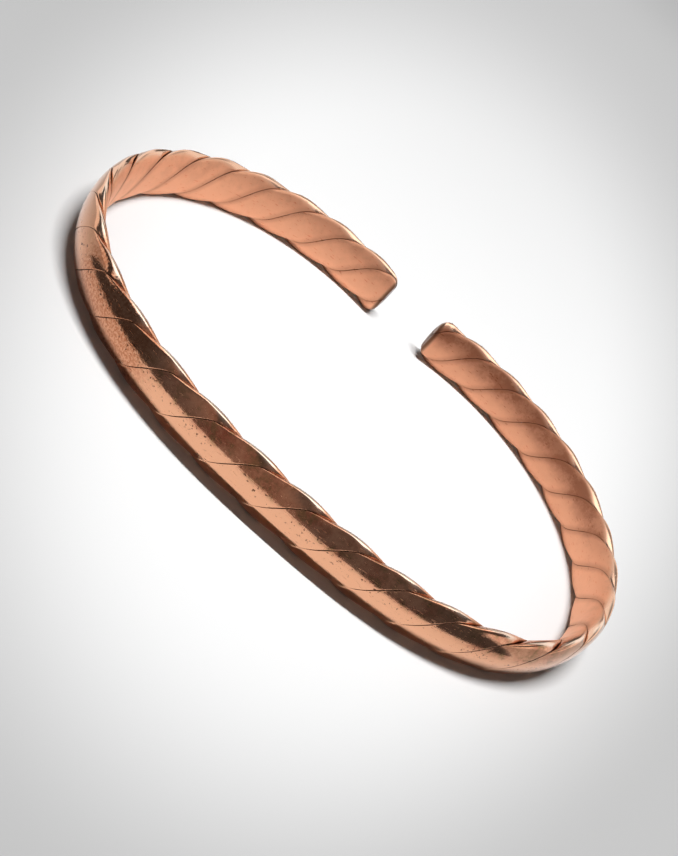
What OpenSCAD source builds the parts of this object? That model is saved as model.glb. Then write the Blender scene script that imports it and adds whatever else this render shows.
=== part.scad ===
// Open cuff bracelet of three copper wires, laid into a left-hand rope and rolled flat.
// It lies on its lower edge and opens a little towards its upper edge. The wide flat stretch
// of the oval faces -Y, the gap faces +Y, and the origin is on the surface it lies on, under
// the middle of its box.

/* [Band] */
// Length of the metal from cut end to cut end, along its middle (mm)
cut_length = 164.6; // [155:0.2:168]
// Height of the band from crest to crest (mm)
band_height = 5.7; // [4.5:0.1:7]
// Thickness of the band at the middle of its faces (mm)
band_thickness = 2; // [1.6:0.1:2.6]
// Fullness of the outer face: 2 is an ellipse, less is leaner towards the edges
outer_fullness = 1.8; // [1.6:0.1:3]
// Fullness of the inner face: 2 is an ellipse, more is flatter
inner_fullness = 2.2; // [2:0.1:5]

/* [Twist] */
// Length in which one strand goes once round the rope (mm)
lay_length = 15.6; // [14:0.2:18]
// Distance from the middle of the front to the nearest notch on its right (mm)
first_notch = 1.8; // [0:0.1:5]
// Depth of the notches between the lobes of an edge (mm)
notch_depth = 0.7; // [0.2:0.05:0.9]
// Gap between neighbouring strands (mm)
seam_gap = 0.1; // [0.08:0.01:0.14]
// Rounding of a strand's shoulder on the rolled faces (mm)
face_round = 0.14; // [0.1:0.01:0.25]
// Rounding of a strand's shoulder at the edges of the band (mm)
edge_round = 0.2; // [0.15:0.05:0.5]

/* [Bend] */
// Radius of the flat stretch, at the middle of the front (mm)
front_radius = 172; // [120:1:250]
// Radius of the tight bend at the left side (mm)
left_radius = 18.2; // [17.8:0.1:19]
// Radius of the tight bend at the right side (mm)
right_radius = 19; // [18.6:0.1:20]
// Radius of the bend at the two cut ends (mm)
end_radius = 24.7; // [23.9:0.1:26]
// Distance along the band from the middle of the front to the tightest bend on the left (mm)
left_place = 33.2; // [31:0.1:35]
// Distance along the band from the middle of the front to the tightest bend on the right (mm)
right_place = 24.3; // [23:0.1:27]
// Lean of the band, outwards at its upper edge (degrees)
flare = 4.3; // [0:0.1:8]

/* [Ends] */
// Rounding of the cut ends as seen on the faces (mm)
corner_round = 1.3; // [0.8:0.1:1.6]
// Rounding of the cut ends through the thickness (mm)
rim_round = 0.5; // [0.3:0.05:0.6]

/* [Hidden] */
copper = [0.85, 0.53, 0.39];
strand_count = 3;
half_angle = 180 / strand_count;
half_length = cut_length / 2;
half_height = band_height / 2;
half_thickness = band_thickness / 2;

// Angles of the points across a strand's crown, from its middle, in fractions of its half angle
crown = [-0.62, -0.31, 0, 0.31, 0.62];
// Distance between the sections, and their number from the middle of the front to an end's rounding
section_step = 0.8;
body_sections = floor((half_length - corner_round) / section_step);
// Sections in the rounding of an end, and the step of the walk along the centreline
end_sections = 4;
walk_step = 0.4;
// How quickly a notch fades from an edge of the band towards the outer face, and towards the inner
outer_fade = 9;
inner_fade = 2;
// Angle over which the skin's slope is taken, and the pull of the sharp corner on a shoulder's middle
slope_turn = 1;
corner_pull = 0.3;

// Bend of the centreline, in 1/mm, at a distance along it from the middle of the front,
// where distances to the left are negative
function bend(s) = lookup(s, [
    [-half_length, 1 / end_radius],
    [-left_place, 1 / left_radius],
    [0, 1 / front_radius],
    [right_place, 1 / right_radius],
    [half_length, 1 / end_radius]
]);

// Turn in one step of the walk, in degrees; side is -1 for the left half, 1 for the right
function turn(side, i) = bend(side * (i + 0.5) * walk_step) * walk_step * 180 / PI;

// One half of the centreline, walked from the middle of the front: [distance, x, y, heading]
function walk(side) = [
    for (
        i = 0, x = 0, y = 0, h = 0;
        i * walk_step <= half_length + walk_step;
        x = x + side * walk_step * cos(h + turn(side, i) / 2),
        y = y + walk_step * sin(h + turn(side, i) / 2),
        h = h + turn(side, i),
        i = i + 1
    ) [side * i * walk_step, x, y, side * h]
];
left_half = walk(-1);
walked = concat([for (i = [len(left_half) - 1:-1:1]) left_half[i]], walk(1));
walked_x = [for (w = walked) [w[0], w[1]]];
walked_y = [for (w = walked) [w[0], w[2]]];
walked_heading = [for (w = walked) [w[0], w[3]]];
// Middle of the oval, which is set over the origin
middle_x = (min([for (w = walked) w[1]]) + max([for (w = walked) w[1]])) / 2;
middle_y = max([for (w = walked) w[2]]) / 2;

// Distances of the sections from the middle of the front, closer together in an end's rounding
half_stations = concat(
    [for (i = [1:body_sections]) i * section_step],
    [for (i = [0:end_sections]) half_length - corner_round * (1 - sin(90 * i / end_sections))]
);
last = len(half_stations) - 1;
stations = concat([for (i = [last:-1:0]) -half_stations[i]], [0], half_stations);

// What is left of a half size at a distance e from the end, with a rounding r
function rounded(half_size, r, e) = e >= r ? half_size : half_size - r + sqrt(r * r - (r - e) * (r - e));

// Direction of a strand's middle in its section: 0 is outwards, 90 is up
function lay_angle(index, s) =
    90 - half_angle + 360 * (s - first_notch) / lay_length + 2 * half_angle * index;

// Point of the rope's surface at angle a, on a strand whose middle is t half angles away
function skin(a, t, s) =
    let (
        e = half_length - abs(s),
        outer = cos(a) > 0,
        notch = notch_depth * t * t * pow(abs(sin(a)), outer ? outer_fade : inner_fade),
        out = rounded(half_thickness, rim_round, e),
        up = rounded(half_height - notch, corner_round, e),
        n = outer ? outer_fullness : inner_fullness,
        size = pow(pow(abs(cos(a)), n) + pow(abs(sin(a)), n), 1 / n)
    ) [out * cos(a), up * sin(a)] / size;

// Unit vector along a seam's wall, from the middle of the band to its surface
function wall(a, s) = let (p = skin(a, 1, s)) p / norm(p);
// The same vector turned a quarter turn towards growing angles
function across(v) = [-v[1], v[0]];

// Where the two walls of a strand meet, each half a gap inside its seam
function root(w1, w2) =
    let (spread = w1[0] * w2[1] - w1[1] * w2[0]) (w1 + w2) * (seam_gap / 2) / spread;

// Points of a shoulder from the wall to the crown; side is -1 for the first wall, 1 for the last
function shoulder(middle, side, s) =
    let (
        a = middle + side * half_angle,
        w = wall(a, s),
        inward = -side * across(w),
        r = face_round + (edge_round - face_round) * pow(abs(sin(a)), 2),
        top = norm(skin(a, 1, s)),
        slope = norm(skin(a + slope_turn / 2, 1, s) - skin(a - slope_turn / 2, 1, s)) / slope_turn,
        b = 1 - (r + seam_gap / 2) / slope / half_angle,
        low = w * (top - r) + inward * seam_gap / 2,
        high = skin(middle + side * half_angle * b, b, s),
        corner = w * top + inward * seam_gap / 2,
        mid = corner_pull * corner + (1 - corner_pull) / 2 * (low + high)
    ) side < 0 ? [low, mid, high] : [high, mid, low];

// A strand's section, anticlockwise from its root: [outwards, upwards from the middle]
function section(index, s) =
    let (
        middle = lay_angle(index, s),
        w1 = wall(middle - half_angle, s),
        w2 = wall(middle + half_angle, s)
    ) concat(
        [root(w1, w2)],
        shoulder(middle, -1, s),
        [for (c = crown) skin(middle + c * half_angle, c, s)],
        shoulder(middle, 1, s)
    );

// A section's points, set up across the centreline and leant outwards
function placed(index, s) =
    let (
        x = lookup(s, walked_x) - middle_x,
        y = lookup(s, walked_y) - middle_y,
        h = lookup(s, walked_heading)
    ) [
        for (p = section(index, s))
            let (out = p[0] + p[1] * tan(flare)) [x + out * sin(h), y - out * cos(h), p[1] + half_height]
    ];

// One strand of the rope: sections joined by quads, each cut along the band
module strand(index) {
    rings = [for (s = stations) placed(index, s)];
    n = len(rings[0]);
    m = len(rings);
    sides = [
        for (i = [0:m - 2], j = [0:n - 1])
            let (
                a = i * n + j,
                b = i * n + (j + 1) % n,
                c = a + n,
                d = b + n
            )
            each j < n - 1 ? [[a, b, c], [b, d, c]] : [[a, b, d], [a, d, c]]
    ];
    first_cap = [for (j = [1:n - 2]) [0, j + 1, j]];
    last_cap = [for (j = [1:n - 2]) [(m - 1) * n, (m - 1) * n + j, (m - 1) * n + j + 1]];
    polyhedron(points = [for (r = rings) each r], faces = concat(sides, first_cap, last_cap));
}

module strand_a() {
    color(copper) strand(0);
}

module strand_b() {
    color(copper) strand(1);
}

module strand_c() {
    color(copper) strand(2);
}

strand_a();
strand_b();
strand_c();
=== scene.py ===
# %% [markdown]
# # An open cuff of three flattened copper wires
#
# The bracelet is about 165 mm of copper rope, rolled flat and bent into an oval that stays open by 6
# mm. A jeweller makes it from three round wires. They are laid together, pulled through the rollers,
# cut to length, soldered at both ends, filed round and bent over a mandrel. It is then polished by
# hand, which leaves tarnish in the seams. The pale crowns are painted highlights here, and the seams
# get painted shade as well as tarnish.
#
# This notebook gives each wire its smooth shape, its polish and its wear, on the frame that the CAD
# model sets. First the frame is loaded.

# %% Load the frame
import math

import bpy
from mathutils import Matrix, Vector


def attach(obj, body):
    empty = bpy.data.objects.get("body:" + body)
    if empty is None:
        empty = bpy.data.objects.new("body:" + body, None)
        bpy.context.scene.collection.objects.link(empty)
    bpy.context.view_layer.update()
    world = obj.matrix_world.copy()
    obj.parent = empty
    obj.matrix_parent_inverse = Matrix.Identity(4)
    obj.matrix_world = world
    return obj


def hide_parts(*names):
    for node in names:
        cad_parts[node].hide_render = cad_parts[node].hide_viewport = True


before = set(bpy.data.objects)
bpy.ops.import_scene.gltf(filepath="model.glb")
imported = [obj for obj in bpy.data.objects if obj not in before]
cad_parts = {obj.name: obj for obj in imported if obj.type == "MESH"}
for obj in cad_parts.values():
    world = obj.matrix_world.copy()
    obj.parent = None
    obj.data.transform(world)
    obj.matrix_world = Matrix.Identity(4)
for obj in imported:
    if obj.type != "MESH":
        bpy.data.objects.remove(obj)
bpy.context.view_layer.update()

# %% [markdown]
# ## Measures
#
# Everything is in metres, so each measure in millimetres is turned into metres once. The names are
# those of the CAD source, and so are the values: a wire drawn here lies on the wire that collides.

# %% Measures of the band and its strands
MM = 0.001
half_length = 164.6 / 2 * MM
sizes = {
    "Half height": 5.7 / 2 * MM,
    "Half thickness": 2.0 / 2 * MM,
    "Notch depth": 0.7 * MM,
    "Corner round": 1.3 * MM,
    "Rim round": 0.5 * MM,
    "Outer fullness": 1.8,
    "Inner fullness": 2.2,
    "Outer fade": 9.0,
    "Inner fade": 2.0,
}
strand_sizes = {
    "Half length": half_length,
    "Lay length": 15.6 * MM,
    "First notch": 1.8 * MM,
    "Seam gap": 0.1 * MM,
    "Face round": 0.14 * MM,
    "Edge round": 0.2 * MM,
    "Lean": math.tan(math.radians(4.3)),
}
print("a lobe is", round(strand_sizes["Lay length"] / MM / 3, 2), "mm long")

# %% [markdown]
# ## The centreline
#
# A cuff is bent cold over an oval mandrel, so its bend changes evenly along it: nearly straight in
# front, tightest at the two sides, a little easier at the cut ends. It is done by hand, so the two
# sides differ a little. Each half of the line is walked from the middle of the front with the bend at
# each step. Then the line is moved until the origin is under the middle of its box.

# %% Walk the centreline
front_radius = 172 * MM
end_radius = 24.7 * MM
left_radius, left_place = 18.2 * MM, 33.2 * MM
right_radius, right_place = 19 * MM, 24.3 * MM
walk_step = 0.2 * MM


def walk(side, side_radius, side_place):
    points = [(0.0, 0.0)]
    heading = 0.0
    for i in range(round(half_length / walk_step)):
        s = (i + 0.5) * walk_step
        if s < side_place:
            share = s / side_place
            bend = (1 - share) / front_radius + share / side_radius
        else:
            share = (s - side_place) / (half_length - side_place)
            bend = (1 - share) / side_radius + share / end_radius
        x, y = points[-1]
        middle = heading + bend * walk_step / 2
        points.append((x + side * walk_step * math.cos(middle), y + walk_step * math.sin(middle)))
        heading += bend * walk_step
    return points


def put_in_scene(name, data):
    thing = bpy.data.objects.new(name, data)
    bpy.context.scene.collection.objects.link(thing)
    return thing


line = walk(-1, left_radius, left_place)[:0:-1] + walk(1, right_radius, right_place)
middle_x = (min(x for x, y in line) + max(x for x, y in line)) / 2
middle_y = max(y for x, y in line) / 2
line = [(x - middle_x, y - middle_y) for x, y in line]

centre_curve = bpy.data.curves.new("centreline", "CURVE")
centre_curve.dimensions = "3D"
spline = centre_curve.splines.new("POLY")
spline.points.add(len(line) - 1)
for point, (x, y) in zip(spline.points, line):
    point.co = (x, y, 0, 1)
centreline = put_in_scene("centreline", centre_curve)
print(len(line), "points, and the gap is", round((line[-1][0] - line[0][0]) / MM, 2), "mm wide")

# %% [markdown]
# ## Two helpers
#
# One function adds a node of any kind. It sets the node's own choices first and fills its inputs
# after: a list fills them in order, a dict by name, and a value may be a node, a socket or a plain
# value. The other turns a colour as it is seen, in sRGB, into the linear light that the renderer adds
# up.

# %% Helpers for nodes and colours
MATHS, VECTOR, MIX = "ShaderNodeMath", "ShaderNodeVectorMath", "ShaderNodeMix"


def add(tree, kind, inputs=(), **choices):
    node = tree.nodes.new(kind)
    for name, value in choices.items():
        setattr(node, name, value)
    open_inputs = [socket for socket in node.inputs if socket.enabled]
    for key, value in inputs.items() if isinstance(inputs, dict) else enumerate(inputs):
        if isinstance(key, int):
            socket = open_inputs[key]
        else:
            socket = next(s for s in open_inputs if s.name == key)
        if isinstance(value, bpy.types.Node):
            value = next(s for s in value.outputs if s.enabled)
        if isinstance(value, bpy.types.NodeSocket):
            tree.links.new(value, socket)
        else:
            socket.default_value = value
    return node


def linear(hex_colour):
    parts = [int(hex_colour[i : i + 2], 16) / 255 for i in (1, 3, 5)]
    return [p / 12.92 if p <= 0.04045 else ((p + 0.055) / 1.055) ** 2.4 for p in parts] + [1]


print("the mid grey #808080 is", round(linear("#808080")[0], 3), "in linear light")

# %% [markdown]
# ## The skin of the rope
#
# Rolled rope has two shapes at once. Across, it is a flat oval, a little leaner outside than inside,
# where it lay against the mandrel. Along its edges it has a lobe for each strand and a notch between
# two lobes, because round wires don't fill the corners. The notches fade out towards the faces,
# quickly on the outer one, which the rollers pressed flush. The first group rounds a half size off
# towards a cut end, as a file does. The second gives the skin's point at an angle round the rope.

# %% A half size, rounded off at the cut end
GEOMETRY, FLOAT = "NodeSocketGeometry", "NodeSocketFloat"


def new_group(name, inputs, outputs):
    tree = bpy.data.node_groups.new(name, "GeometryNodeTree")
    for label, kind in inputs.items():
        tree.interface.new_socket(label, in_out="INPUT", socket_type=kind)
    for label, kind in outputs.items():
        tree.interface.new_socket(label, in_out="OUTPUT", socket_type=kind)
    return tree, add(tree, "NodeGroupInput").outputs


filed, given = new_group(
    "filed end", {"Half size": FLOAT, "Rounding": FLOAT, "From end": FLOAT}, {"Half size": FLOAT}
)
near_end = add(filed, MATHS, [given["From end"], given["Rounding"]], operation="MINIMUM")
short = add(filed, MATHS, [given["Rounding"], near_end], operation="SUBTRACT")
short_squared = add(filed, MATHS, [short, short], operation="MULTIPLY")
radius_squared = add(filed, MATHS, [given["Rounding"], given["Rounding"]], operation="MULTIPLY")
left = add(filed, MATHS, [radius_squared, short_squared], operation="SUBTRACT")
arc = add(filed, MATHS, [left], operation="SQRT")
flat = add(filed, MATHS, [given["Half size"], given["Rounding"]], operation="SUBTRACT")
add(filed, "NodeGroupOutput", {"Half size": add(filed, MATHS, [flat, arc], operation="ADD")})
print("the filed end takes", len(filed.nodes), "nodes")

# %% [markdown]
# A point of the skin is found as on an ellipse: the cosine and the sine of its angle, each times its
# half size, and then both divided by what the fullness gives. At a fullness of 2 that is an ellipse,
# and more is squarer, so one rule serves both faces. A profile curve could be swept instead, but it
# can't be notched by its angle and by its place on the strand at once.

# %% A point of the skin
skin, given = new_group(
    "rope skin",
    {"Angle": FLOAT, "Place": FLOAT, "From end": FLOAT} | {name: FLOAT for name in sizes},
    {"Point": "NodeSocketVector"},
)
cosine = add(skin, MATHS, [given["Angle"]], operation="COSINE")
sine = add(skin, MATHS, [given["Angle"]], operation="SINE")
edge_share = add(skin, MATHS, [sine], operation="ABSOLUTE")
outside = add(skin, MATHS, [cosine, 0.0], operation="GREATER_THAN")
fade = add(skin, MIX, [outside, given["Inner fade"], given["Outer fade"]], data_type="FLOAT")
near_edge = add(skin, MATHS, [edge_share, fade], operation="POWER")
place_squared = add(skin, MATHS, [given["Place"], given["Place"]], operation="MULTIPLY")
notch = add(skin, MATHS, [given["Notch depth"], place_squared], operation="MULTIPLY")
notch = add(skin, MATHS, [notch, near_edge], operation="MULTIPLY")
crest = add(skin, MATHS, [given["Half height"], notch], operation="SUBTRACT")
up_size, out_size = (
    add(
        skin,
        "GeometryNodeGroup",
        {"Half size": half_size, "Rounding": given[rounding], "From end": given["From end"]},
        node_tree=filed,
    )
    for half_size, rounding in ((crest, "Corner round"), (given["Half thickness"], "Rim round"))
)
fullness = add(skin, MIX, [outside, given["Inner fullness"], given["Outer fullness"]], data_type="FLOAT")
face_share = add(skin, MATHS, [cosine], operation="ABSOLUTE")
out_share = add(skin, MATHS, [face_share, fullness], operation="POWER")
up_share = add(skin, MATHS, [edge_share, fullness], operation="POWER")
shares = add(skin, MATHS, [out_share, up_share], operation="ADD")
root_of = add(skin, MATHS, [1.0, fullness], operation="DIVIDE")
divisor = add(skin, MATHS, [shares, root_of], operation="POWER")
outwards = add(skin, MATHS, [out_size, cosine], operation="MULTIPLY")
upwards = add(skin, MATHS, [up_size, sine], operation="MULTIPLY")
outwards = add(skin, MATHS, [outwards, divisor], operation="DIVIDE")
upwards = add(skin, MATHS, [upwards, divisor], operation="DIVIDE")
skin_point = add(skin, "ShaderNodeCombineXYZ", [outwards, upwards])
add(skin, "NodeGroupOutput", {"Point": skin_point})
print("the skin takes", len(skin.nodes), "nodes")

# %% [markdown]
# ## One strand
#
# A grid is rolled up into a wire. Its long way follows the rope and its short way goes round the
# strand: over the crown, which is a piece of the rope's skin, round a small shoulder, and down both
# walls to the root, where the three strands meet. A wire pressed between its neighbours has just this
# section. The sections turn with the lay of the rope, and they stand closer together near a cut end.

# %% Inputs of the strand and its grid
half_sections = 560
ring_steps = 48
cap_length = 1.0 * MM
crown_share = 0.6
shoulder_share = 0.3
half_angle = math.pi / 3

strand_inputs = sizes | strand_sizes | {"Strand": 0.0, "Waviness": 0.008 * MM, "Closeness": 0.55}
rope, given = new_group(
    "strand of a rope",
    {"Geometry": GEOMETRY}
    | {name: FLOAT for name in strand_inputs}
    | {"Centreline": "NodeSocketObject", "Metal": "NodeSocketMaterial"},
    {"Geometry": GEOMETRY},
)
body_half = add(rope, MATHS, [given["Half length"], given["Corner round"]], operation="ADD")
grid_half = add(rope, MATHS, [body_half, cap_length], operation="ADD")
grid = add(
    rope,
    "GeometryNodeMeshGrid",
    {
        "Size X": add(rope, MATHS, [grid_half, 2.0], operation="MULTIPLY"),
        "Size Y": 2.0,
        "Vertices X": 2 * half_sections + 1,
        "Vertices Y": ring_steps + 1,
    },
)
spot = add(rope, "ShaderNodeSeparateXYZ", [add(rope, "GeometryNodeInputPosition")]).outputs
spot_length = add(rope, MATHS, [spot["X"]], operation="ABSOLUTE")
round_share = add(rope, MATHS, [spot["Y"]], operation="ABSOLUTE")
right_side = add(rope, MATHS, [spot["Y"], -1e-6], operation="GREATER_THAN")
side = add(rope, MATHS, [right_side, 2.0, -1.0], operation="MULTIPLY_ADD")
print("the grid is", 2 * half_sections + 1, "by", ring_steps + 1, "points")

# %% [markdown]
# A cut end is rounded within little more than a millimetre, so the sections crowd together there: the
# distance from the end grows with a square first, and evenly after. Past the end, the last stretch of
# the grid shrinks to one point in the middle of the strand and closes it. A cap could be filled in
# afterwards, but then it would need the same places and the same metal once more.

# %% Distance along the rope, squeezed near the cut end, and the cap that closes it
to_end = add(rope, MATHS, [body_half, spot_length], operation="SUBTRACT")
to_end = add(rope, MATHS, [to_end, 0.0], operation="MAXIMUM")
squeeze_reach = add(rope, MATHS, [given["Corner round"], 2.0], operation="MULTIPLY")
squeezed = add(rope, MATHS, [to_end, squeeze_reach], operation="MINIMUM")
squeezed_squared = add(rope, MATHS, [squeezed, squeezed], operation="MULTIPLY")
twice_reach = add(rope, MATHS, [squeeze_reach, 2.0], operation="MULTIPLY")
curved = add(rope, MATHS, [squeezed_squared, twice_reach], operation="DIVIDE")
straight = add(rope, MATHS, [to_end, squeezed], operation="SUBTRACT")
from_end = add(rope, MATHS, [curved, straight], operation="ADD")
along_half = add(rope, MATHS, [given["Half length"], from_end], operation="SUBTRACT")
direction = add(rope, MATHS, [spot["X"]], operation="SIGN")
along = add(rope, MATHS, [direction, along_half], operation="MULTIPLY")
past_end = add(rope, MATHS, [spot_length, body_half], operation="SUBTRACT")
cap = add(rope, MATHS, [past_end, cap_length], operation="DIVIDE", use_clamp=True)
print("the last", cap_length / MM, "mm of the grid close an end")

# %% [markdown]
# Each strand keeps a third of the rope, between two seams. The seams turn with the lay, once in 15.6
# mm, and each has a flat wall from the middle of the rope to its skin, as wires get that are pressed
# together. The walls stay half a gap inside the seams, so that a thin dark line is left. Two walls
# meet in a root: the sharper their corner, the farther out half a gap pushes it.

# %% The strand's own angle, its two seams and their walls
lay_distance = add(rope, MATHS, [along, given["First notch"]], operation="SUBTRACT")
lay_share = add(rope, MATHS, [lay_distance, given["Lay length"]], operation="DIVIDE")
lay_turn = add(rope, MATHS, [lay_share, 2 * math.pi, math.pi / 2 - half_angle], operation="MULTIPLY_ADD")
middle = add(rope, MATHS, [given["Strand"], 2 * half_angle, lay_turn], operation="MULTIPLY_ADD")
seam = add(rope, MATHS, [side, half_angle, middle], operation="MULTIPLY_ADD")
other_seam = add(rope, MATHS, [side, -half_angle, middle], operation="MULTIPLY_ADD")
skin_inputs = {name: given[name] for name in sizes} | {"From end": from_end, "Place": 1.0}
top_point = add(rope, "GeometryNodeGroup", skin_inputs | {"Angle": seam}, node_tree=skin)
other_point = add(rope, "GeometryNodeGroup", skin_inputs | {"Angle": other_seam}, node_tree=skin)
wall = add(rope, VECTOR, [top_point], operation="NORMALIZE")
other_wall = add(rope, VECTOR, [other_point], operation="NORMALIZE")
wall_top = add(rope, VECTOR, [top_point], operation="LENGTH")
half_gap = add(rope, MATHS, [given["Seam gap"], 0.5], operation="MULTIPLY")
half_gap = add(rope, MATHS, [half_gap, given["Closeness"]], operation="MULTIPLY")
turned = add(rope, VECTOR, [(0, 0, 1), wall], operation="CROSS_PRODUCT")
to_crown = add(rope, MATHS, [side, -1.0], operation="MULTIPLY")
inward = add(rope, VECTOR, [turned, to_crown], operation="SCALE")
gap_shift = add(rope, VECTOR, [inward, half_gap], operation="SCALE")

# %% The root, where both walls meet
both_walls = add(rope, VECTOR, [wall, other_wall], operation="ADD")
between = add(rope, VECTOR, [other_wall, wall], operation="CROSS_PRODUCT")
between = add(rope, "ShaderNodeSeparateXYZ", [between]).outputs["Z"]
between = add(rope, MATHS, [between, side], operation="MULTIPLY")
root_share = add(rope, MATHS, [half_gap, between], operation="DIVIDE")
root = add(rope, VECTOR, [both_walls, root_share], operation="SCALE")
print("a strand's walls stand", round(math.degrees(2 * half_angle)), "degrees apart")

# %% [markdown]
# A shoulder is what the rollers leave of the round wire beside a seam. It is drawn as a pen tool
# draws: a curve from the crown's last point to a point on the wall, pulled by the sharp corner between
# them. A Bevel modifier could round the corner too, but evenly, and here it gets rounder towards the
# edges of the band. The skin's slope, taken half a degree to either side of the seam, tells where the
# crown has to end.

# %% The shoulder between wall and crown
seam_sine = add(rope, MATHS, [seam], operation="SINE")
seam_sine = add(rope, MATHS, [seam_sine, seam_sine], operation="MULTIPLY")
rounding = add(
    rope, MIX, [seam_sine, given["Face round"], given["Edge round"]], data_type="FLOAT"
)
rounding = add(rope, MATHS, [rounding, given["Closeness"]], operation="MULTIPLY")
small_turn = math.radians(0.5)
ahead = add(rope, MATHS, [seam, small_turn], operation="ADD")
behind = add(rope, MATHS, [seam, -small_turn], operation="ADD")
skin_ahead = add(rope, "GeometryNodeGroup", skin_inputs | {"Angle": ahead}, node_tree=skin)
skin_behind = add(rope, "GeometryNodeGroup", skin_inputs | {"Angle": behind}, node_tree=skin)
slope = add(rope, VECTOR, [skin_ahead, skin_behind], operation="DISTANCE")
slope = add(rope, MATHS, [slope, half_angle / (2 * small_turn)], operation="MULTIPLY")
shoulder_width = add(rope, MATHS, [rounding, half_gap], operation="ADD")
shoulder_width = add(rope, MATHS, [shoulder_width, slope], operation="DIVIDE")
crown_edge = add(rope, MATHS, [1.0, shoulder_width], operation="SUBTRACT")
crown_place = add(rope, MATHS, [round_share, crown_share], operation="DIVIDE", use_clamp=True)
crown_place = add(rope, MATHS, [crown_place, crown_edge], operation="MULTIPLY")
crown_angle = add(rope, MATHS, [crown_place, side], operation="MULTIPLY")
crown_angle = add(rope, MATHS, [crown_angle, half_angle, middle], operation="MULTIPLY_ADD")
crown = add(
    rope,
    "GeometryNodeGroup",
    skin_inputs | {"Angle": crown_angle, "Place": crown_place},
    node_tree=skin,
)
corner = add(rope, VECTOR, [top_point, gap_shift], operation="ADD")
wall_end = add(rope, MATHS, [wall_top, rounding], operation="SUBTRACT")
low = add(rope, VECTOR, [wall, wall_end], operation="SCALE")
low = add(rope, VECTOR, [low, gap_shift], operation="ADD")
past_crown = add(rope, MATHS, [round_share, crown_share], operation="SUBTRACT")
shoulder_place = add(rope, MATHS, [past_crown, shoulder_share], operation="DIVIDE", use_clamp=True)
first_leg = add(rope, MIX, [shoulder_place, crown, corner], data_type="VECTOR")
second_leg = add(rope, MIX, [shoulder_place, corner, low], data_type="VECTOR")
shoulder = add(rope, MIX, [shoulder_place, first_leg, second_leg], data_type="VECTOR")
shown_round = strand_inputs["Face round"] * strand_inputs["Closeness"]
print("a shoulder's radius is", round(shown_round / MM, 3), "mm on the faces")

# %% [markdown]
# Down the wall, and in at the cap. A hand-rolled wire isn't quite even either, so a slow noise, seeded
# once for each strand, lifts and sinks the skin by a few thousandths of a millimetre. It is far too
# little to see as a shape, but a polished surface shows it at once, as reflections that waver.

# %% Wall, cap and waviness
past_shoulder = add(rope, MATHS, [round_share, crown_share + shoulder_share], operation="SUBTRACT")
wall_share = 1 - crown_share - shoulder_share
wall_place = add(rope, MATHS, [past_shoulder, wall_share], operation="DIVIDE", use_clamp=True)
section = add(rope, MIX, [wall_place, shoulder, root], data_type="VECTOR")
both_points = add(rope, VECTOR, [top_point, other_point], operation="ADD")
cap_middle = add(rope, VECTOR, [both_points, 1 / 3], operation="SCALE")
section = add(rope, MIX, [cap, section, cap_middle], data_type="VECTOR")
parts = add(rope, "ShaderNodeSeparateXYZ", [section]).outputs
wave_spot = add(rope, "ShaderNodeCombineXYZ", [along, parts["Y"], parts["X"]])
wave = add(
    rope,
    "ShaderNodeTexNoise",
    {"Vector": wave_spot, "W": given["Strand"], "Scale": 1 / (5 * MM), "Detail": 1.0},
    noise_dimensions="4D",
)
wave = add(rope, MATHS, [wave, 0.5], operation="SUBTRACT")
wave = add(rope, MATHS, [wave, given["Waviness"]], operation="MULTIPLY")
wave = add(rope, MATHS, [wave, 2.0], operation="MULTIPLY")
section_out = add(rope, VECTOR, [section], operation="NORMALIZE")
section_out = add(rope, VECTOR, [section_out, wave], operation="SCALE")
open_skin = add(rope, MATHS, [1.0, wall_place], operation="SUBTRACT")
section_out = add(rope, VECTOR, [section_out, open_skin], operation="SCALE")
section = add(rope, VECTOR, [section, section_out], operation="ADD")
parts = add(rope, "ShaderNodeSeparateXYZ", [section]).outputs
print("the strand has", len(rope.nodes), "nodes so far")

# %% [markdown]
# So far the section is flat. Now its points are carried to their places on the oval: sideways and up
# from the centreline, and leant outwards a little. Curve to Mesh could sweep a profile along the line,
# but only one that stays the same, and this one turns and changes all the way.

# %% Set each point up across the centreline
metal_line = add(
    rope, "GeometryNodeObjectInfo", [given["Centreline"]], transform_space="ORIGINAL"
)
line_share = add(rope, MATHS, [along, given["Half length"]], operation="DIVIDE")
line_share = add(rope, MATHS, [line_share, 0.5, 0.5], operation="MULTIPLY_ADD")
sample = add(
    rope,
    "GeometryNodeSampleCurve",
    {"Curves": metal_line.outputs["Geometry"], "Factor": line_share},
    mode="FACTOR",
    use_all_curves=True,
).outputs
out_way = add(rope, VECTOR, [sample["Tangent"], (0, 0, 1)], operation="CROSS_PRODUCT")
out_way = add(rope, VECTOR, [out_way], operation="NORMALIZE")
out_part = add(rope, MATHS, [parts["Y"], given["Lean"], parts["X"]], operation="MULTIPLY_ADD")
out_move = add(rope, VECTOR, [out_way, out_part], operation="SCALE")
height = add(rope, MATHS, [parts["Y"], given["Half height"]], operation="ADD")
up_move = add(rope, "ShaderNodeCombineXYZ", {"Z": height})
placed = add(rope, VECTOR, [sample["Position"], out_move], operation="ADD")
placed = add(rope, VECTOR, [placed, up_move], operation="ADD")
print("the band leans out by", round(math.degrees(math.atan(strand_sizes["Lean"])), 1), "degrees")
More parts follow.
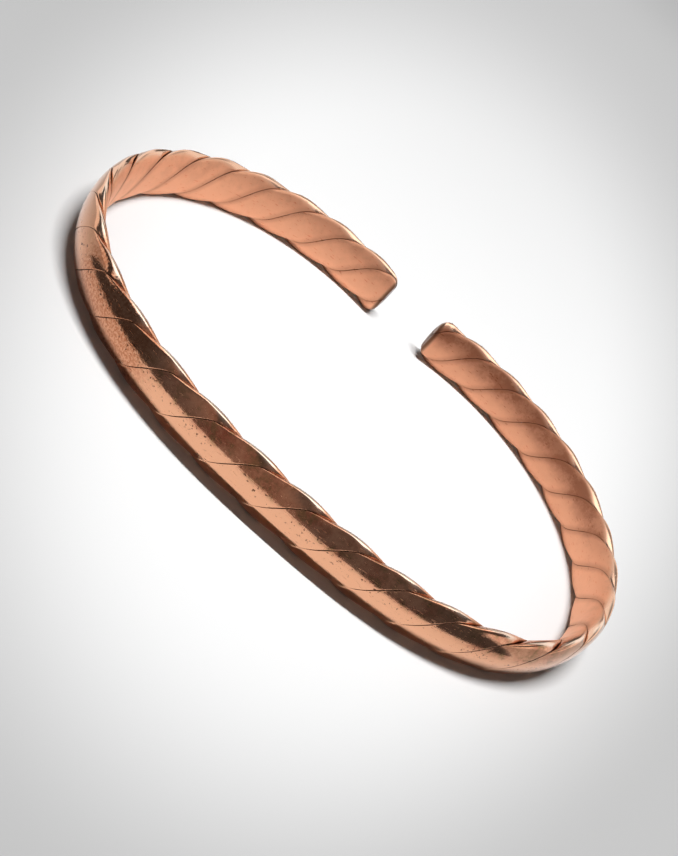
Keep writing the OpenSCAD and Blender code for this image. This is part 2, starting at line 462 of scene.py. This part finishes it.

# %% [markdown]
# ## What the polish needs to know
#
# Brushing and polishing follow the band, so the material needs to know where a point is along the
# rope, up it and through it. That is stored as a vector in metres. Each strand's is shifted a long
# way, so that no two of them have the same scratches. Four more attributes say how deep in a seam a
# point lies, where oxide and painted shade darken it, how near it is to a crest, where a pale
# highlight is painted, how near it is to a cut face, which was filed and soldered and has stayed dark,
# and how near a seam it lies on the crown, where the inside gets painted shade in the film's brown.
# All five are stored on the flat grid, which still knows them, before its points are moved.

# %% Store the place along, up and through the rope
strand_spacing = 0.5
strand_shift = add(rope, MATHS, [given["Strand"], strand_spacing], operation="MULTIPLY")
shifted_along = add(rope, MATHS, [along, strand_shift], operation="ADD")
rope_place = add(rope, "ShaderNodeCombineXYZ", [shifted_along, parts["Y"], parts["X"]])
stored = add(
    rope,
    "GeometryNodeStoreNamedAttribute",
    {"Geometry": grid, "Name": "rope_place", "Value": rope_place},
    data_type="FLOAT_VECTOR",
    domain="POINT",
)
print("each strand's places are", strand_spacing, "m apart")

# %% Store how near a seam, a crest and a cut face a point is
crest_height = add(rope, MATHS, [crown_angle], operation="SINE")
crest_height = add(rope, MATHS, [crest_height], operation="ABSOLUTE")
# What each range reads, and where it starts and is full
nearness = {
    "crease": (round_share, 0.66, 0.88),
    "crest": (crest_height, 0.975, 0.995),
    "lobe_top": (crown_place, 0.9, 0.45),
    "filed_face": (from_end, 0.45 * MM, 0.1 * MM),
    "beside_seam": (crown_place, 0.6, 1.0),
}
known = {
    name: add(
        rope,
        "ShaderNodeMapRange",
        {"Value": value, "From Min": start, "From Max": full},
        interpolation_type="SMOOTHSTEP",
    )
    for name, (value, start, full) in nearness.items()
}
lobe_top = known.pop("lobe_top")
known["crest"] = add(rope, MATHS, [known["crest"], lobe_top], operation="MULTIPLY")
for name, value in known.items():
    stored = add(
        rope,
        "GeometryNodeStoreNamedAttribute",
        {"Geometry": stored, "Name": name, "Value": value},
        data_type="FLOAT",
        domain="POINT",
    )
print("stored:", ", ".join(known))

# %% Roll the grid up and give it its metal
rolled = add(rope, "GeometryNodeSetPosition", {"Geometry": stored, "Position": placed})
merged = add(rope, "GeometryNodeMergeByDistance", {"Geometry": rolled, "Distance": 0.002 * MM})
smooth = add(rope, "GeometryNodeSetShadeSmooth", {"Geometry": merged})
metal = add(rope, "GeometryNodeSetMaterial", {"Geometry": smooth, "Material": given["Metal"]})
solid = add(rope, "GeometryNodeRealizeInstances", {"Geometry": metal})
add(rope, "NodeGroupOutput", {"Geometry": solid})
print("the strand takes", len(rope.nodes), "nodes")

# %% [markdown]
# ## Polished bare copper
#
# Copper is the one reddish metal, because it swallows blue and green light. Straight off the wheel it
# is a pale salmon mirror. Air and skin then dull it in layers, and the layers are mixed here in that
# order: a thin brown film in cloudy patches over the upper half of the front, partly tarnish and partly
# a painted dark reflection, mottled where the wire was hammered near the left bend, pits and specks
# where the rollers pressed dirt in, a painted pale highlight on the crests and a painted pale sheen on
# both bends, and dark oxide with painted shade in the seams and oxide on the cut faces. The inside was
# only brushed, so its gloss is softer; its copper is a paler copy, painted light, and it gets painted
# shade, in the film's brown, beside its seams and is browner towards the top of its right far part. A
# photograph of copper could be laid on instead, but layers stay sharp at any distance, and each can be
# changed alone.

# %% Where things are on the metal
def emptied(holder):
    holder.use_nodes = True
    holder.node_tree.nodes.clear()
    return holder.node_tree


copper = bpy.data.materials.new("polished bare copper")
tree = emptied(copper)
place = add(tree, "ShaderNodeAttribute", attribute_name="rope_place").outputs["Vector"]
crease, crest, filed_face, beside_seam = (
    add(tree, "ShaderNodeAttribute", attribute_name=name).outputs["Fac"] for name in known
)
place_parts = add(tree, "ShaderNodeSeparateXYZ", [place]).outputs
# The shift of each strand's places is taken off again to know the distance from the middle of the front
half_spacing = strand_spacing / 2
along = add(tree, MATHS, [place_parts["X"], half_spacing, -half_spacing], operation="WRAP")
along_either = add(tree, MATHS, [along], operation="ABSOLUTE")
ranges = {
    "upper": (place_parts["Y"], 0.2 * MM, 1.0 * MM),
    "inner": (place_parts["Z"], -0.1 * MM, -0.6 * MM),
    "in front": (along_either, 46 * MM, 36 * MM),
    "far right": (along, 44 * MM, 58 * MM),
    "front part": (along_either, 34 * MM, 26 * MM),
    "left bend": (along, -31 * MM, -43 * MM),
    "right bend": (along, 25 * MM, 35 * MM),
    "up the inside": (place_parts["Y"], -0.8 * MM, 2 * MM),
    "hammered from": (along, -31 * MM, -28 * MM),
    "hammered to": (along, -15 * MM, -19 * MM),
    "pitted above": (place_parts["Y"], -0.7 * MM, 0.2 * MM),
    "pitted below": (place_parts["Y"], 1.6 * MM, 0.9 * MM),
}
where = {
    name: add(
        tree,
        "ShaderNodeMapRange",
        {"Value": value, "From Min": start, "From Max": end},
        interpolation_type="SMOOTHSTEP",
    )
    for name, (value, start, end) in ranges.items()
}
hammered = add(tree, MATHS, [where["hammered from"], where["hammered to"]], operation="MULTIPLY")
pitted = add(tree, MATHS, [where["pitted above"], where["pitted below"]], operation="MULTIPLY")
print(len(where), "parts of the metal are told apart")

# %% [markdown]
# Wear follows no pattern, so its marks are noise. It is stretched along the rope for the strokes of
# the brush, and left round for clouds of film, pits and hammer marks. Pits could be cut into the mesh,
# but they are a tenth of a millimetre wide, and a dark spot does the same. Each size is a real one in
# millimetres, apart from that of the scratches.

# %% Scratches, clouds and patches
scratch_length = 9 * MM
# The hair-fine scratches are drawn a little coarser than life, so that they show
scratch_width = 0.09 * MM
scratch_scale = (1 / scratch_length, 1 / scratch_width, 1 / scratch_width)
stretched = add(tree, VECTOR, [place, scratch_scale], operation="MULTIPLY")
scratches = add(
    tree, "ShaderNodeTexNoise", {"Vector": stretched, "Scale": 1.0, "Detail": 3.0, "Roughness": 0.6}
)
# The size of each kind of mark, how many finer ones it holds, and how strong those are
marks = {
    "clouds": (2.2 * MM, 6.0, 0.7),
    "patches": (1.1 * MM, 4.0, 0.65),
    "specks": (0.3 * MM, 2.0, 0.6),
    "dents": (0.4 * MM, 2.0, 0.6),
    "mottles": (0.25 * MM, 3.0, 0.7),
}
clouds, patches, specks, dents, mottles = (
    add(
        tree,
        "ShaderNodeTexNoise",
        {"Vector": place, "Scale": 1 / size, "Detail": detail, "Roughness": finer},
    )
    for size, detail, finer in marks.values()
)
cloud, patch = (
    add(
        tree,
        "ShaderNodeMapRange",
        {"Value": noise, "From Min": start, "From Max": full},
        interpolation_type="SMOOTHSTEP",
    )
    for noise, start, full in ((clouds, 0.4, 0.66), (patches, 0.47, 0.62))
)
print("noise of", len(marks) + 1, "sizes")

# %% Pits and nicks
outer = add(tree, MATHS, [1.0, where["inner"]], operation="SUBTRACT")
pit_limit = add(tree, MATHS, [cloud, -0.1, 0.68], operation="MULTIPLY_ADD")
pit = add(tree, MATHS, [specks, pit_limit], operation="SUBTRACT")
pit = add(tree, MATHS, [pit, 25.0], operation="MULTIPLY", use_clamp=True)
pit = add(tree, MATHS, [pit, pitted], operation="MULTIPLY")
pit = add(tree, MATHS, [pit, outer], operation="MULTIPLY")
# Nicks and short scratches scatter the light, so they are pale where the polish is dark
nick_length, nick_width = 0.7 * MM, 0.16 * MM
nick_scale = (1 / nick_length, 1 / nick_width, 1 / nick_width)
nick_stretch = add(tree, VECTOR, [place, nick_scale], operation="MULTIPLY")
nick_noise = add(tree, "ShaderNodeTexNoise", {"Vector": nick_stretch, "Scale": 1.0, "Detail": 2.0})
nick = add(
    tree,
    "ShaderNodeMapRange",
    {"Value": nick_noise, "From Min": 0.64, "From Max": 0.72},
    interpolation_type="SMOOTHSTEP",
)
print("nicks are about", nick_length / MM, "by", nick_width / MM, "mm")

# %% [markdown]
# The film is where the polish wears off last. So each part of the metal gets its share of film first:
# the upper half of the front, where it is partly painted dark reflection, the hammered stretch, the
# inside, where painted shade is added beside the seams. Then come the shares of the painted highlight
# on the crests and the bends, and of the oxide and painted shade in the seams.

# %% How much film, painted highlight, oxide and painted shade there is
# Brown over the upper half of the front: tarnish, and painted dark reflection
film_and_shade_share = add(tree, MATHS, [mottles, 0.9, -0.3], operation="MULTIPLY_ADD")
film_and_shade_share = add(tree, MATHS, [cloud, 0.7, film_and_shade_share], operation="MULTIPLY_ADD")
film_and_shade_share = add(tree, MATHS, [film_and_shade_share, where["upper"]], operation="MULTIPLY")
film_and_shade_share = add(tree, MATHS, [film_and_shade_share, where["front part"]], operation="MULTIPLY")
# The hammered stretch is mottled brown all over
mottle = add(
    tree,
    "ShaderNodeMapRange",
    {"Value": mottles, "From Min": 0.4, "From Max": 0.6, "To Min": 0.3, "To Max": 0.95},
    interpolation_type="SMOOTHSTEP",
)
mottle = add(tree, MATHS, [mottle, hammered], operation="MULTIPLY")
film_and_shade_share = add(tree, MATHS, [film_and_shade_share, mottle], operation="MAXIMUM")
# The inside has faint brown blotches that grow towards its top, and its right far part is browner
# towards its top edge
right_share = add(tree, MATHS, [where["up the inside"], 0.6, 0.14], operation="MULTIPLY_ADD")
right_share = add(tree, MATHS, [right_share, where["far right"]], operation="MULTIPLY")
blotches = add(tree, MATHS, [where["up the inside"], 0.16, 0.06], operation="MULTIPLY_ADD")
right_blotches = add(tree, MATHS, [where["up the inside"], where["far right"]], operation="MULTIPLY")
blotches = add(tree, MATHS, [right_blotches, 0.3, blotches], operation="MULTIPLY_ADD")
inner_share = add(tree, MATHS, [cloud, blotches, right_share], operation="MULTIPLY_ADD")
# Painted shade beside the inside's seams, in the brown of the film
inner_share = add(tree, MATHS, [beside_seam, 0.4, inner_share], operation="MULTIPLY_ADD", use_clamp=True)
film_and_shade_share = add(tree, MIX, [where["inner"], film_and_shade_share, inner_share], data_type="FLOAT")
crest_highlight, bend_sheen = 0.9, 0.38
# Painted highlight: the crests get a pale cream where their rims mirror the bright light overhead
highlight_share = add(tree, MATHS, [crest, crest_highlight], operation="MULTIPLY")
highlight_share = add(tree, MATHS, [highlight_share, where["in front"]], operation="MULTIPLY")
# Both bends get a painted pale sheen outside, where their metal is seen at a grazing angle
bend_sheen_share = add(tree, MATHS, [where["left bend"], where["right bend"]], operation="MAXIMUM")
bend_sheen_share = add(tree, MATHS, [bend_sheen_share, outer], operation="MULTIPLY")
bend_sheen_share = add(tree, MATHS, [bend_sheen_share, bend_sheen], operation="MULTIPLY")
highlight_share = add(tree, MATHS, [highlight_share, bend_sheen_share], operation="MAXIMUM")
# The seams are darkened by oxide and by painted shade, where little light gets into the grooves
seam_dark_outside, seam_dark_inside, oxide_on_cuts = 0.85, 0.4, 0.8
seam_darkening = add(tree, MIX, [where["inner"], seam_dark_outside, seam_dark_inside], data_type="FLOAT")
seam_darkening = add(tree, MATHS, [crease, seam_darkening], operation="MULTIPLY")
filed_share = add(tree, MATHS, [filed_face, oxide_on_cuts], operation="MULTIPLY")
print(copper.name, "takes", len(tree.nodes), "nodes so far")

# %% The colours, one layer on another
bright = linear("#E3A986")
# The inside's copper is a paler copy of the front's: painted light that brightens the inside
inner_lit_copper = linear("#F3B692")
film = linear("#B4714F")
inner_film = linear("#B0765A")
# Red and olive film: tarnish, and the painted colour of the dark reflection on the front
red_film = linear("#AC6049")
olive_film = linear("#96704C")
speck = linear("#5A3A2A")
# Dark oxide colour, on the cut faces and, as painted shade, in the seams
oxide_and_shade = linear("#4A2E22")
# Pale cream of the painted highlight on the crests and the painted sheen on the bends
painted_highlight = linear("#F8DCC6")
outer_film = add(tree, MIX, [patch, red_film, olive_film], data_type="RGBA")
outer_film = add(tree, MIX, [hammered, outer_film, film], data_type="RGBA")
film_colour = add(tree, MIX, [where["inner"], outer_film, inner_film], data_type="RGBA")
clean = add(tree, MIX, [where["inner"], bright, inner_lit_copper], data_type="RGBA")
colour = add(tree, MIX, [film_and_shade_share, clean, film_colour], data_type="RGBA")
colour = add(tree, MIX, [pit, colour, speck], data_type="RGBA")
colour = add(tree, MIX, [highlight_share, colour, painted_highlight], data_type="RGBA")
colour = add(tree, MIX, [seam_darkening, colour, oxide_and_shade], data_type="RGBA")
colour = add(tree, MIX, [filed_share, colour, oxide_and_shade], data_type="RGBA")
print("bright copper is", [round(v, 2) for v in bright[:3]], "in linear light")

# %% [markdown]
# The buffed front is nearly a mirror, the brushed inside is dull, and the grime in the seams and the
# nicks are rough. The relief is a few thousandths of a millimetre deep, far below what a mesh can
# hold, so it only tilts the light: fine scratches along the rope, and shallow dents, deeper where the
# wire was hammered.

# %% Gloss and relief
buffed, scuffed, brushed = 0.08, 0.17, 0.6
gloss = add(
    tree,
    "ShaderNodeMapRange",
    {"Value": clouds, "From Min": 0.3, "From Max": 0.75, "To Min": buffed, "To Max": scuffed},
)
roughness = add(tree, MIX, [where["inner"], gloss, brushed], data_type="FLOAT")
roughness = add(tree, MATHS, [crease, 0.25, roughness], operation="MULTIPLY_ADD")
roughness = add(tree, MATHS, [nick, 0.35, roughness], operation="MULTIPLY_ADD")
scratch_depth, dent_reach = 0.003 * MM, 0.05 * MM
scratch_relief = add(
    tree, "ShaderNodeBump", {"Height": scratches, "Distance": scratch_depth, "Strength": 1.0}
)
dent_depth = add(tree, MATHS, [hammered, 0.25, 0.12], operation="MULTIPLY_ADD")
dent_height = add(tree, MATHS, [dents, dent_depth], operation="MULTIPLY")
relief = add(
    tree,
    "ShaderNodeBump",
    {"Height": dent_height, "Distance": dent_reach, "Strength": 1.0, "Normal": scratch_relief},
)
shader = add(
    tree,
    "ShaderNodeBsdfPrincipled",
    {"Base Color": colour, "Metallic": 1.0, "Roughness": roughness, "Normal": relief},
)
add(tree, "ShaderNodeOutputMaterial", {"Surface": shader})
print(copper.name, "takes", len(tree.nodes), "nodes")

# %% [markdown]
# ## The three strands
#
# The same tree is used three times, a third of a turn on each time. Each result becomes a plain mesh,
# rides on the one body that the cuff has, and stands for the wire of the CAD model.

# %% Make the strands
sockets = {item.name: item.identifier for item in rope.interface.items_tree if item.in_out == "INPUT"}
for index, node_name in enumerate(("strand_a", "strand_b", "strand_c")):
    maker = put_in_scene("maker", bpy.data.meshes.new("maker"))
    nodes_modifier = maker.modifiers.new("strand", "NODES")
    nodes_modifier.node_group = rope
    chosen = strand_inputs | {"Strand": float(index), "Centreline": centreline, "Metal": copper}
    for name, value in chosen.items():
        nodes_modifier[sockets[name]] = value
    maker.update_tag()
    graph = bpy.context.evaluated_depsgraph_get()
    mesh = bpy.data.meshes.new_from_object(maker.evaluated_get(graph), depsgraph=graph)
    bpy.data.objects.remove(maker)
    mesh.name = node_name + "_polished"
    wire = put_in_scene(node_name + "_polished", mesh)
    volume = sum(
        mesh.vertices[a].co.dot(mesh.vertices[b].co.cross(mesh.vertices[c].co)) / 6
        for a, b, c in (triangle.vertices for triangle in mesh.loop_triangles)
    )
    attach(wire, "root")
    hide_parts(node_name)
    print(wire.name, len(mesh.loop_triangles), "triangles,", round(volume / MM**3, 1), "mm3")
bpy.data.objects.remove(centreline)

# %% [markdown]
# ## The table top
#
# A plain pale board, large enough that its edge is never seen near the cuff. Its colour is a painted
# pool of light: whitest round the cuff and a little greyer away from it, and its far part glows faintly
# to make up for the lamp's fall-off.

# %% Floor
floor_half = 1.5
corners = [(x * floor_half, y * floor_half, 0) for x, y in ((-1, -1), (1, -1), (1, 1), (-1, 1))]
floor_mesh = bpy.data.meshes.new("floor")
floor_mesh.from_pydata(corners, [], [(0, 1, 2, 3)])
floor = put_in_scene("floor", floor_mesh)
print("the floor is", 2 * floor_half, "m wide")

# %% Its card
# Card is pressed from pulp and left uncoated, so it has no gloss: it is as pale from every side
board = bpy.data.materials.new("matt white card")
tree = emptied(board)
spot = add(tree, "ShaderNodeTexCoord").outputs["Object"]
# The painted pool of light is an egg: the farther back, the wider it fades
pool_back, pool_widening = 10 * MM, 169 * MM
pool_start, pool_end = 23.6 * MM, 51 * MM
from_pool = add(tree, VECTOR, [spot, (0, -pool_back, 0)], operation="ADD")
pool = add(tree, VECTOR, [from_pool, (1, 0.44, 1)], operation="MULTIPLY")
pool = add(tree, VECTOR, [pool], operation="LENGTH")
back_share = add(tree, "ShaderNodeSeparateXYZ", [from_pool]).outputs["Y"]
back_share = add(tree, MATHS, [back_share, 1 / pool_widening, 1.0], operation="MULTIPLY_ADD")
back_share = add(tree, MATHS, [back_share, 0.5], operation="MAXIMUM")
pool = add(tree, MATHS, [pool, back_share], operation="DIVIDE")
shade = add(
    tree,
    "ShaderNodeMapRange",
    {"Value": pool, "From Min": pool_start, "From Max": pool_end, "To Min": 0.95, "To Max": 0.56},
    interpolation_type="SMOOTHSTEP",
)
card_colour = add(tree, "ShaderNodeCombineColor", [shade, shade, shade])
card = add(tree, "ShaderNodeBsdfDiffuse", {"Color": card_colour})
far = add(tree, VECTOR, [spot], operation="LENGTH")
far = add(
    tree,
    "ShaderNodeMapRange",
    {"Value": far, "From Min": 60 * MM, "From Max": 300 * MM, "To Min": 0.0, "To Max": 0.36},
    interpolation_type="SMOOTHSTEP",
)
glow = add(tree, "ShaderNodeEmission", {"Color": (1, 1, 1, 1), "Strength": far})
add(tree, "ShaderNodeOutputMaterial", {"Surface": add(tree, "ShaderNodeAddShader", [card, glow])})
floor_mesh.materials.append(board)
print("the pool of white fades from", pool_start / MM, "to", pool_end / MM, "mm")

# %% [markdown]
# ## Light
#
# One long lamp hangs over the middle of the oval, along its long way, as a tube does over a table. So
# the shadows are short, crisp beside the front, which runs as the tube does, and soft round the two
# bends. A faint even light from all sides fills them, and the camera sees it as a pale wall behind the
# table.

# %% Lamp
lamp = bpy.data.lights.new("overhead lamp", "AREA")
lamp.shape = "RECTANGLE"
lamp.size = 150 * MM
lamp.size_y = 10 * MM
lamp.energy = 0.95
lamp_object = put_in_scene("overhead lamp", lamp)
lamp_object.location = (5 * MM, 0, 300 * MM)
lamp_object.visible_glossy = False
lamp_object.visible_camera = False
print("the lamp hangs", round(lamp_object.location.z / MM), "mm above the floor")

# %% Light from all sides
world = bpy.data.worlds.new("room light")
bpy.context.scene.world = world
tree = emptied(world)
seen = add(tree, "ShaderNodeLightPath").outputs["Is Camera Ray"]
fill_light, wall_seen = 0.055, 0.8
ambient = add(tree, "ShaderNodeMapRange", {"Value": seen, "To Min": fill_light, "To Max": wall_seen})
background = add(tree, "ShaderNodeBackground", {"Color": (1, 1, 1, 1), "Strength": ambient})
add(tree, "ShaderNodeOutputWorld", {"Surface": background})
print("the wall behind the table is seen at", wall_seen, "and lights at", fill_light)

# %% [markdown]
# Polished metal shows little of its own: it shows the room. So the room is built as well, as a dome
# and a board that only the metal's reflections see. It is dark in front, where the camera stands,
# bright overhead and pale to the sides, with one dark corner low down behind. White cards round the
# cuff, as a studio has them, could do this too, but one dome with soft borders is easier to match.

# %% What only the metal sees
def reflected(name, points, faces, material):
    mesh = bpy.data.meshes.new(name)
    mesh.from_pydata(points, [], faces)
    mesh.materials.append(material)
    card = put_in_scene(name, mesh)
    card.visible_camera = card.visible_diffuse = card.visible_shadow = False
    card.visible_transmission = card.visible_volume_scatter = False
    print(name, "has", len(mesh.polygons), "faces")


# %% Which way the room lies
room = bpy.data.materials.new("room seen in the metal")
tree = emptied(room)
spot = add(tree, "ShaderNodeTexCoord").outputs["Object"]
way = add(tree, VECTOR, [spot], operation="NORMALIZE")
way = add(tree, "ShaderNodeSeparateXYZ", [way]).outputs
# Turn from straight ahead of the front, positive to the right, and the height above the floor
front = add(tree, MATHS, [way["Y"], -1.0], operation="MULTIPLY")
turn = add(tree, MATHS, [way["X"], front], operation="ARCTAN2")
turn_either = add(tree, MATHS, [turn], operation="ABSOLUTE")
rise = add(tree, MATHS, [way["Z"]], operation="ARCSINE")
# What each part reads, the degrees where it starts and is full, and how much it is then
room_ranges = {
    "left side": (turn, -38, -50, 1.0),
    "right side": (turn, 40, 52, 1.0),
    "above eye level": (rise, 13, 22, 1.0),
    "from the left": (turn, -45, -6, 1.0),
    "to the right": (turn, 14, 0, 1.0),
    "before the right": (turn, 48, 25, 0.32),
    "right": (turn, 15, 35, 0.55),
    "raised": (rise, 20, 38, 1.0),
    "high": (rise, 35, 55, 1.0),
    "behind": (turn_either, 162, 168, 1.0),
    "low down": (rise, 30, 22, 1.0),
}
room_share = {
    name: add(
        tree,
        "ShaderNodeMapRange",
        {
            "Value": value,
            "From Min": math.radians(start),
            "From Max": math.radians(full),
            "To Max": most,
        },
        interpolation_type="SMOOTHSTEP",
    )
    for name, (value, start, full, most) in room_ranges.items()
}
print(len(room_share), "parts of the room are told apart")

# %% The dark part in front
dark_left, dark_right, dark_top = math.radians(-71), math.radians(61), math.radians(65)
soft_edge = math.radians(2.5)
# It is wider above eye level, and lower at its two sides
above_eye = room_share["above eye level"]
left_turn = add(tree, MATHS, [above_eye, math.radians(50), turn], operation="MULTIPLY_ADD")
right_turn = add(tree, MATHS, [above_eye, math.radians(-45), turn], operation="MULTIPLY_ADD")
side_rise = rise
for side_name, drop in (("left side", 28), ("right side", 18)):
    at_side = room_share[side_name]
    side_rise = add(tree, MATHS, [at_side, math.radians(drop), side_rise], operation="MULTIPLY_ADD")
dark = 1.0
for value, edge, inwards in (
    (left_turn, dark_left, soft_edge),
    (right_turn, dark_right, -soft_edge),
    (side_rise, dark_top, -soft_edge),
):
    inside = add(
        tree,
        "ShaderNodeMapRange",
        {"Value": value, "From Min": edge - inwards, "From Max": edge + inwards},
        interpolation_type="SMOOTHSTEP",
    )
    dark = add(tree, MATHS, [dark, inside], operation="MULTIPLY")
# It is lightest and warmest straight ahead
ahead = add(
    tree, MATHS, [room_share["to the right"], room_share["before the right"]], operation="MAXIMUM"
)
ahead = add(tree, MATHS, [room_share["from the left"], ahead], operation="MULTIPLY")
raised_right = add(tree, MATHS, [room_share["right"], room_share["raised"]], operation="MULTIPLY")
ahead = add(tree, MATHS, [ahead, raised_right], operation="MAXIMUM")
dark_level = add(tree, MIX, [ahead, 0.095, 0.31], data_type="FLOAT")
dark_tint = add(tree, MIX, [ahead, linear("#F0F6FF"), linear("#FFEAE4")], data_type="RGBA")
print("the dark part is", round(math.degrees(dark_right - dark_left)), "degrees wide")

# %% The bright part, and the light of the whole room
# Over the top the room is bright just past the dark part, and grey behind the zenith
sideways = add(tree, MATHS, [way["X"]], operation="ABSOLUTE")
aside = add(tree, MATHS, [sideways, -0.6, way["Y"]], operation="MULTIPLY_ADD")
overhead = add(
    tree,
    "ShaderNodeMapRange",
    {"Value": aside, "From Min": -0.15, "From Max": 0.05, "To Min": 2.0, "To Max": 0.3},
    interpolation_type="SMOOTHSTEP",
)
pale = add(tree, MIX, [room_share["high"], 1.05, overhead], data_type="FLOAT")
strength = add(tree, MIX, [dark, pale, dark_level], data_type="FLOAT")
# A dark corner behind, low down, draws the thin line along the rim
back_corner = add(tree, MATHS, [room_share["behind"], room_share["low down"]], operation="MULTIPLY")
strength = add(tree, MIX, [back_corner, strength, 0.12], data_type="FLOAT")
# The room is for the eye alone, so what the metal throws back onto the floor leaves it out
bounces = add(tree, "ShaderNodeLightPath").outputs["Diffuse Depth"]
for_eye = add(tree, MATHS, [bounces, 0.5], operation="LESS_THAN")
strength = add(tree, MATHS, [strength, for_eye], operation="MULTIPLY")
tint = add(tree, MIX, [dark, (1, 1, 1, 1), dark_tint], data_type="RGBA")
light = add(tree, "ShaderNodeEmission", {"Color": tint, "Strength": strength})
add(tree, "ShaderNodeOutputMaterial", {"Surface": light})
print(room.name, "takes", len(tree.nodes), "nodes")

# %% Dome
dome_radius = 0.6
columns, rows = 64, 24
points = []
for r in range(rows):
    upwards = math.pi / 2 * r / rows
    for c in range(columns):
        around = 2 * math.pi * c / columns
        out_here = dome_radius * math.cos(upwards)
        height_here = dome_radius * math.sin(upwards)
        points.append((out_here * math.sin(around), -out_here * math.cos(around), height_here))
points.append((0, 0, dome_radius))
faces = []
for r in range(rows - 1):
    below, over = r * columns, (r + 1) * columns
    for c in range(columns):
        beside = (c + 1) % columns
        faces.append((below + c, below + beside, over + beside, over + c))
top_row = (rows - 1) * columns
faces += [(top_row + c, top_row + (c + 1) % columns, rows * columns) for c in range(columns)]
reflected("reflected_dome", points, faces, room)

# %% [markdown]
# The pale floor before the front would mirror in the wall above it and wash its brown out. The floor
# could be darkened there, but then it would be seen. So a flat ring in front of the cuff, just above
# the floor and only for the metal, shows the same dark part of the room as the dome, and meets it at
# its foot.

# %% The dark board in front
board_start = 7 * MM
board_height = 0.1 * MM
inner_edge, outer_edge = [], []
for x, y in line[::10]:
    turn_here = math.atan2(x, -y)
    if dark_left < turn_here < dark_right:
        far_out = math.hypot(x, y)
        near_share = (far_out + board_start) / far_out
        inner_edge.append((x * near_share, y * near_share, board_height))
        outer_edge.append((x / far_out * dome_radius, y / far_out * dome_radius, board_height))
count = len(inner_edge)
faces = [(i, i + 1, count + i + 1, count + i) for i in range(count - 1)]
reflected("reflected_board", inner_edge + outer_edge, faces, room)

# %% [markdown]
# ## Camera
#
# The photograph was taken from low in front and a little to the left, with the camera rolled, so that
# the oval lies aslant across the frame. Its angles and its distance were fitted to the notches of the
# upper edge, and its focal length is given in pixels of a frame 856 high.

# %% Camera
azimuth, elevation, roll = (math.radians(a) for a in (-4.752, 32.552, 44.39))
distance = 112.33 * MM
target = Vector((-1.036 * MM - middle_x, 19.241 * MM - middle_y, 0))
level = math.cos(elevation)
back = Vector((math.sin(azimuth) * level, -math.cos(azimuth) * level, math.sin(elevation)))
right = (-back).cross(Vector((0, 0, 1))).normalized()
above = right.cross(-back)
across = right * math.cos(roll) + above * math.sin(roll)
upright = above * math.cos(roll) - right * math.sin(roll)
camera = bpy.data.cameras.new("camera")
camera.sensor_fit = "VERTICAL"
camera.sensor_height = 36
frame_height_px, focal_px = 856, 1156.9
camera.lens = focal_px / frame_height_px * camera.sensor_height
camera.clip_start = 1 * MM
camera.clip_end = 10
camera_object = put_in_scene("camera", camera)
turned = Matrix((across, upright, back)).transposed().to_4x4()
camera_object.matrix_world = Matrix.Translation(target + back * distance) @ turned
bpy.context.scene.camera = camera_object
bpy.context.scene.view_settings.view_transform = "Standard"
print("the camera has a lens of", round(camera.lens, 1), "mm on a frame 36 mm high")
